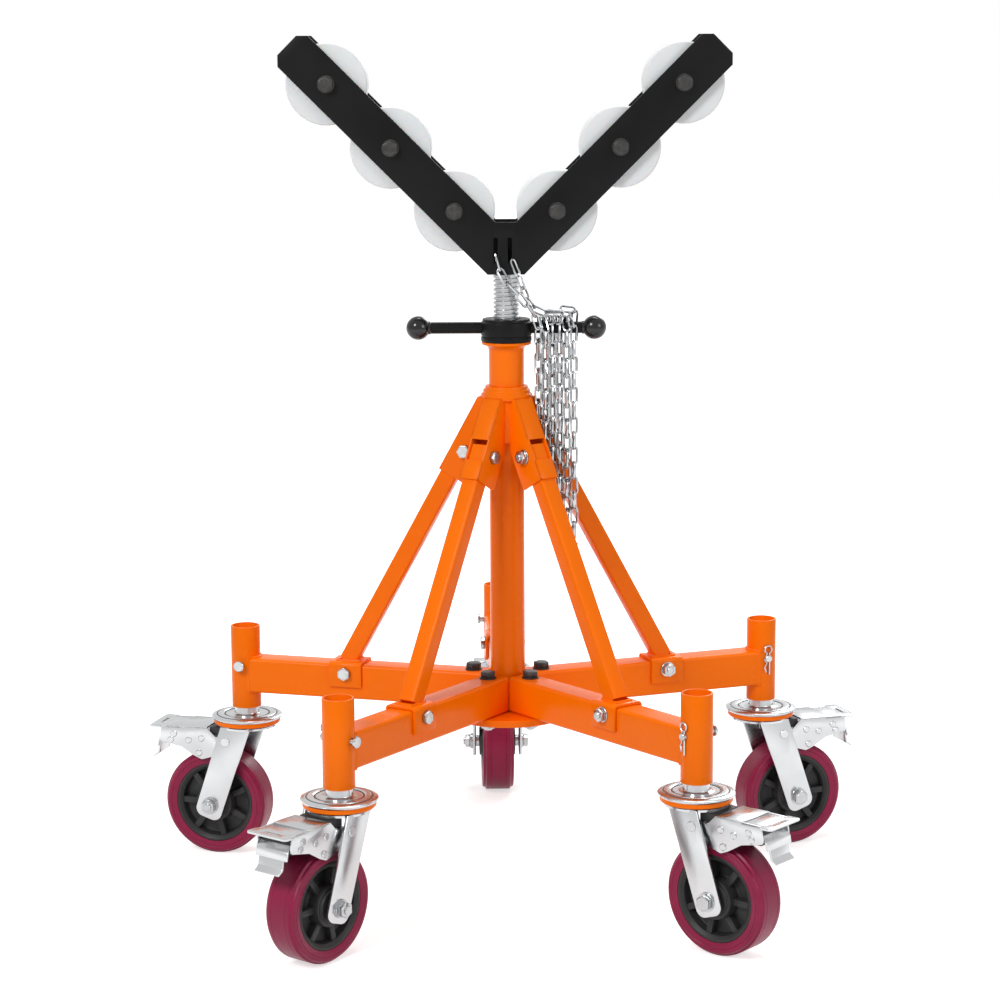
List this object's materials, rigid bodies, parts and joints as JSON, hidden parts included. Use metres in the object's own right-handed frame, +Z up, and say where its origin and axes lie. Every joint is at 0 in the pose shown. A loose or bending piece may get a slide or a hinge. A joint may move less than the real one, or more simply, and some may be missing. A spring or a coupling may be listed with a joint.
{
  "type": "roller stand",
  "caption": "Height-adjustable pipe stand: a V head of white rollers on a screw jack, carried by a braced orange star base on braked swivel casters, with a hold-down chain.",
  "frame": {"origin": "on the floor, under the column's axis", "axes": "+Z up along the column, +X to the right of the V head's front face, -Y out of that face"},
  "size_m": [1.034, 0.9921, 1.1741],
  "materials": {
    "orange_paint": "glossy orange powder coat",
    "zinc_plate": "bright zinc plate",
    "bolt_steel": "zinc plated fasteners",
    "hub_plastic": "moulded black nylon",
    "tread_maroon": "cast maroon polyurethane, satin",
    "screw_steel": "turned trapezoidal thread, lightly oiled",
    "black_paint": "satin black powder coat",
    "black_bolt": "black oxide fasteners",
    "roller_nylon": "turned white nylon, satin",
    "chain_zinc": "zinc plated welded chain"
  },
  "bodies": {
    "frame": {"column_tube": "orange_paint", "base_plate": "orange_paint", "strut_crown": "orange_paint", "leg_1": "orange_paint", "strut_1": "orange_paint", "caster_plate_1": "zinc_plate", "leg_2": "orange_paint", "strut_2": "orange_paint", "caster_plate_2": "zinc_plate", "leg_3": "orange_paint", "strut_3": "orange_paint", "caster_plate_3": "zinc_plate", "leg_4": "orange_paint", "strut_4": "orange_paint", "caster_plate_4": "zinc_plate", "leg_5": "orange_paint", "strut_5": "orange_paint", "caster_plate_5": "zinc_plate"},
    "handle": {"handle_nut": "black_paint", "hold_down_chain": "chain_zinc"},
    "head": {"jack_screw": "screw_steel", "head_front_plate": "black_paint", "head_rear_plate": "black_paint", "roller_bolt_1": "black_bolt", "roller_bolt_2": "black_bolt", "roller_bolt_3": "black_bolt", "roller_bolt_4": "black_bolt", "roller_bolt_5": "black_bolt", "roller_bolt_6": "black_bolt"},
    "roller_1": {"head_roller_1": "roller_nylon"},
    "roller_2": {"head_roller_2": "roller_nylon"},
    "roller_3": {"head_roller_3": "roller_nylon"},
    "roller_4": {"head_roller_4": "roller_nylon"},
    "roller_5": {"head_roller_5": "roller_nylon"},
    "roller_6": {"head_roller_6": "roller_nylon"},
    "swivel_1": {"caster_fork_1": "zinc_plate", "caster_axle_1": "bolt_steel"},
    "wheel_1": {"caster_hub_1": "hub_plastic", "caster_tyre_1": "tread_maroon"},
    "brake_1": {"brake_pedal_1": "zinc_plate"},
    "swivel_2": {"caster_fork_2": "zinc_plate", "caster_axle_2": "bolt_steel"},
    "wheel_2": {"caster_hub_2": "hub_plastic", "caster_tyre_2": "tread_maroon"},
    "brake_2": {"brake_pedal_2": "zinc_plate"},
    "swivel_3": {"caster_fork_3": "zinc_plate", "caster_axle_3": "bolt_steel"},
    "wheel_3": {"caster_hub_3": "hub_plastic", "caster_tyre_3": "tread_maroon"},
    "brake_3": {"brake_pedal_3": "zinc_plate"},
    "swivel_4": {"caster_fork_4": "zinc_plate", "caster_axle_4": "bolt_steel"},
    "wheel_4": {"caster_hub_4": "hub_plastic", "caster_tyre_4": "tread_maroon"},
    "brake_4": {"brake_pedal_4": "zinc_plate"},
    "swivel_5": {"caster_fork_5": "zinc_plate", "caster_axle_5": "bolt_steel"},
    "wheel_5": {"caster_hub_5": "hub_plastic", "caster_tyre_5": "tread_maroon"},
    "brake_5": {"brake_pedal_5": "zinc_plate"}
  },
  "joints": [
    {"name": "nut_turn", "type": "hinge", "parent": "frame", "child": "handle", "pos_m": [0, 0, 0.7593], "axis": [0, 0, -1], "range_deg": [-2880, 9000], "deforming": ["hold_down_chain"]},
    {"name": "screw_lift", "type": "slide", "parent": "frame", "child": "head", "axis": [0, 0, 1], "range_m": [-0.0485, 0.1505]},
    {"name": "roller_spin_1", "type": "hinge", "parent": "head", "child": "roller_1", "pos_m": [0.06972, 0, 0.93903], "axis": [0, 1, 0], "continuous": true},
    {"name": "roller_spin_2", "type": "hinge", "parent": "head", "child": "roller_2", "pos_m": [0.15507, 0, 1.02438], "axis": [0, 1, 0], "continuous": true},
    {"name": "roller_spin_3", "type": "hinge", "parent": "head", "child": "roller_3", "pos_m": [0.24042, 0, 1.10973], "axis": [0, 1, 0], "continuous": true},
    {"name": "roller_spin_4", "type": "hinge", "parent": "head", "child": "roller_4", "pos_m": [-0.06972, 0, 0.93903], "axis": [0, 1, 0], "continuous": true},
    {"name": "roller_spin_5", "type": "hinge", "parent": "head", "child": "roller_5", "pos_m": [-0.15507, 0, 1.02438], "axis": [0, 1, 0], "continuous": true},
    {"name": "roller_spin_6", "type": "hinge", "parent": "head", "child": "roller_6", "pos_m": [-0.24042, 0, 1.10973], "axis": [0, 1, 0], "continuous": true},
    {"name": "swivel_turn_1", "type": "hinge", "parent": "frame", "child": "swivel_1", "pos_m": [-0.21805, -0.32696, 0.195], "axis": [0, 0, 1], "continuous": true},
    {"name": "wheel_spin_1", "type": "hinge", "parent": "swivel_1", "child": "wheel_1", "pos_m": [-0.24576, -0.36242, 0.076], "axis": [0.788, -0.6157, 0], "continuous": true},
    {"name": "brake_press_1", "type": "hinge", "parent": "swivel_1", "child": "brake_1", "pos_m": [-0.23037, -0.34272, 0.172], "axis": [0.788, -0.6157, 0], "range_deg": [0, 8]},
    {"name": "swivel_turn_2", "type": "hinge", "parent": "frame", "child": "swivel_2", "pos_m": [0.24357, -0.30842, 0.195], "axis": [0, 0, 1], "continuous": true},
    {"name": "wheel_spin_2", "type": "hinge", "parent": "swivel_2", "child": "wheel_2", "pos_m": [0.27804, -0.33734, 0.076], "axis": [0.6428, 0.766, 0], "continuous": true},
    {"name": "brake_press_2", "type": "hinge", "parent": "swivel_2", "child": "brake_2", "pos_m": [0.25889, -0.32127, 0.172], "axis": [0.6428, 0.766, 0], "range_deg": [0, 8]},
    {"name": "swivel_turn_3", "type": "hinge", "parent": "frame", "child": "swivel_3", "pos_m": [0.36859, 0.13635, 0.195], "axis": [0, 0, 1], "continuous": true},
    {"name": "wheel_spin_3", "type": "hinge", "parent": "swivel_3", "child": "wheel_3", "pos_m": [0.4108, 0.15196, 0.076], "axis": [-0.3469, 0.9379, 0], "continuous": true},
    {"name": "brake_press_3", "type": "hinge", "parent": "swivel_3", "child": "brake_3", "pos_m": [0.38735, 0.14328, 0.172], "axis": [-0.3469, 0.9379, 0], "range_deg": [0, 8]},
    {"name": "swivel_turn_4", "type": "hinge", "parent": "frame", "child": "swivel_4", "pos_m": [-0.01577, 0.39268, 0.195], "axis": [0, 0, 1], "continuous": true},
    {"name": "wheel_spin_4", "type": "hinge", "parent": "swivel_4", "child": "wheel_4", "pos_m": [-0.01758, 0.43765, 0.076], "axis": [-0.9992, -0.0401, 0], "continuous": true},
    {"name": "brake_press_4", "type": "hinge", "parent": "swivel_4", "child": "brake_4", "pos_m": [-0.01657, 0.41267, 0.172], "axis": [-0.9992, -0.0401, 0], "range_deg": [0, 8]},
    {"name": "swivel_turn_5", "type": "hinge", "parent": "frame", "child": "swivel_5", "pos_m": [-0.37834, 0.10635, 0.195], "axis": [0, 0, 1], "continuous": true},
    {"name": "wheel_spin_5", "type": "hinge", "parent": "swivel_5", "child": "wheel_5", "pos_m": [-0.42166, 0.11852, 0.076], "axis": [-0.2706, -0.9627, 0], "continuous": true},
    {"name": "brake_press_5", "type": "hinge", "parent": "swivel_5", "child": "brake_5", "pos_m": [-0.39759, 0.11176, 0.172], "axis": [-0.2706, -0.9627, 0], "range_deg": [0, 8]}
  ],
  "couplings": [
    {"joint": "screw_lift", "follows": "nut_turn", "m_per_rad": 0.00095493}
  ]
}
